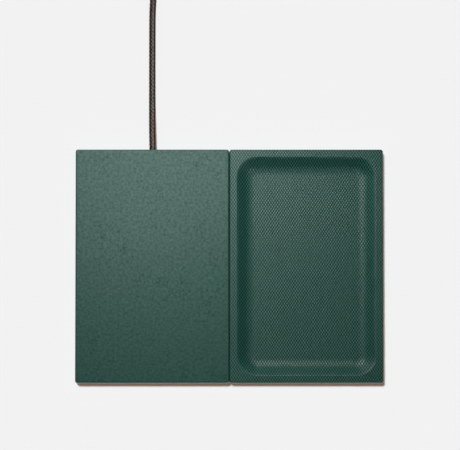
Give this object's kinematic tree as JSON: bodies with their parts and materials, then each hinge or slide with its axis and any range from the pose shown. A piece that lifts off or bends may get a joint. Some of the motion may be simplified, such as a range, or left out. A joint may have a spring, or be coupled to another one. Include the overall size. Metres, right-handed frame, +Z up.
{
  "type": "charging station organizer",
  "caption": "Leather-covered desk organizer: a flat wireless charging pad beside a sunken catch-all tray, joined at a seam, with a braided power cord at the back.",
  "frame": {"origin": "middle of the two modules' footprint, on the surface that they stand on", "axes": "+X from the charging pad to the tray, +Y to the back where the cord leaves, +Z up"},
  "size_m": [0.2174, 0.3565, 0.014],
  "materials": {
    "smooth_leather": "fine-grain leather, matte with a soft sheen",
    "embossed_leather": "leather pressed with a fine grid of raised dots",
    "housing_plastic": "moulded black plastic",
    "core_plastic": "moulded dark grey plastic",
    "pad_rubber": "non-slip silicone",
    "grommet_rubber": "moulded rubber",
    "copper_litz": "lacquered copper strands",
    "ferrite": "sintered ferrite",
    "board_laminate": "green solder resist",
    "component_black": "moulded packages",
    "screw_steel": "zinc-plated steel",
    "magnet_nickel": "nickel-plated",
    "wire_insulation": "soft insulation",
    "cord_braid": "dark braid with light flecks",
    "tie_strap": "woven hook-and-loop strap",
    "plug_plastic": "soft-touch moulding",
    "plug_steel": "bright formed sheet",
    "tongue_plastic": "white moulding",
    "contact_gilt": "gilt strip"
  },
  "bodies": {
    "charger_module": {"charger_leather_cover": "smooth_leather", "charger_upper_housing": "housing_plastic", "charger_lower_housing": "housing_plastic", "charger_base_pad": "pad_rubber", "charging_coil": "copper_litz", "ferrite_shield": "ferrite", "coil_leads": "copper_litz", "circuit_board": "board_laminate", "board_components": "component_black", "board_screws": "screw_steel", "supply_wires": "wire_insulation", "cord_inner_end": "cord_braid", "cord_clamp": "housing_plastic", "cord_clamp_screws": "screw_steel", "cord_grommet": "grommet_rubber", "housing_screws": "screw_steel", "charger_magnets": "magnet_nickel", "cord_lead": "cord_braid", "cord_coil": "cord_braid", "cord_tail": "cord_braid", "cord_tie": "tie_strap", "plug_overmould": "plug_plastic", "plug_shell": "plug_steel", "plug_tongue": "tongue_plastic", "plug_contacts": "contact_gilt"},
    "tray_module": {"tray_leather_lining": "embossed_leather", "tray_core": "core_plastic", "tray_bottom_board": "core_plastic", "tray_base_pad": "pad_rubber", "tray_magnets": "magnet_nickel", "tray_board_screws": "screw_steel"}
  },
  "joints": [
    {"name": "tray_pull", "type": "slide", "parent": "charger_module", "child": "tray_module", "axis": [1, 0, 0], "range_m": [0, 0.04]}
  ]
}
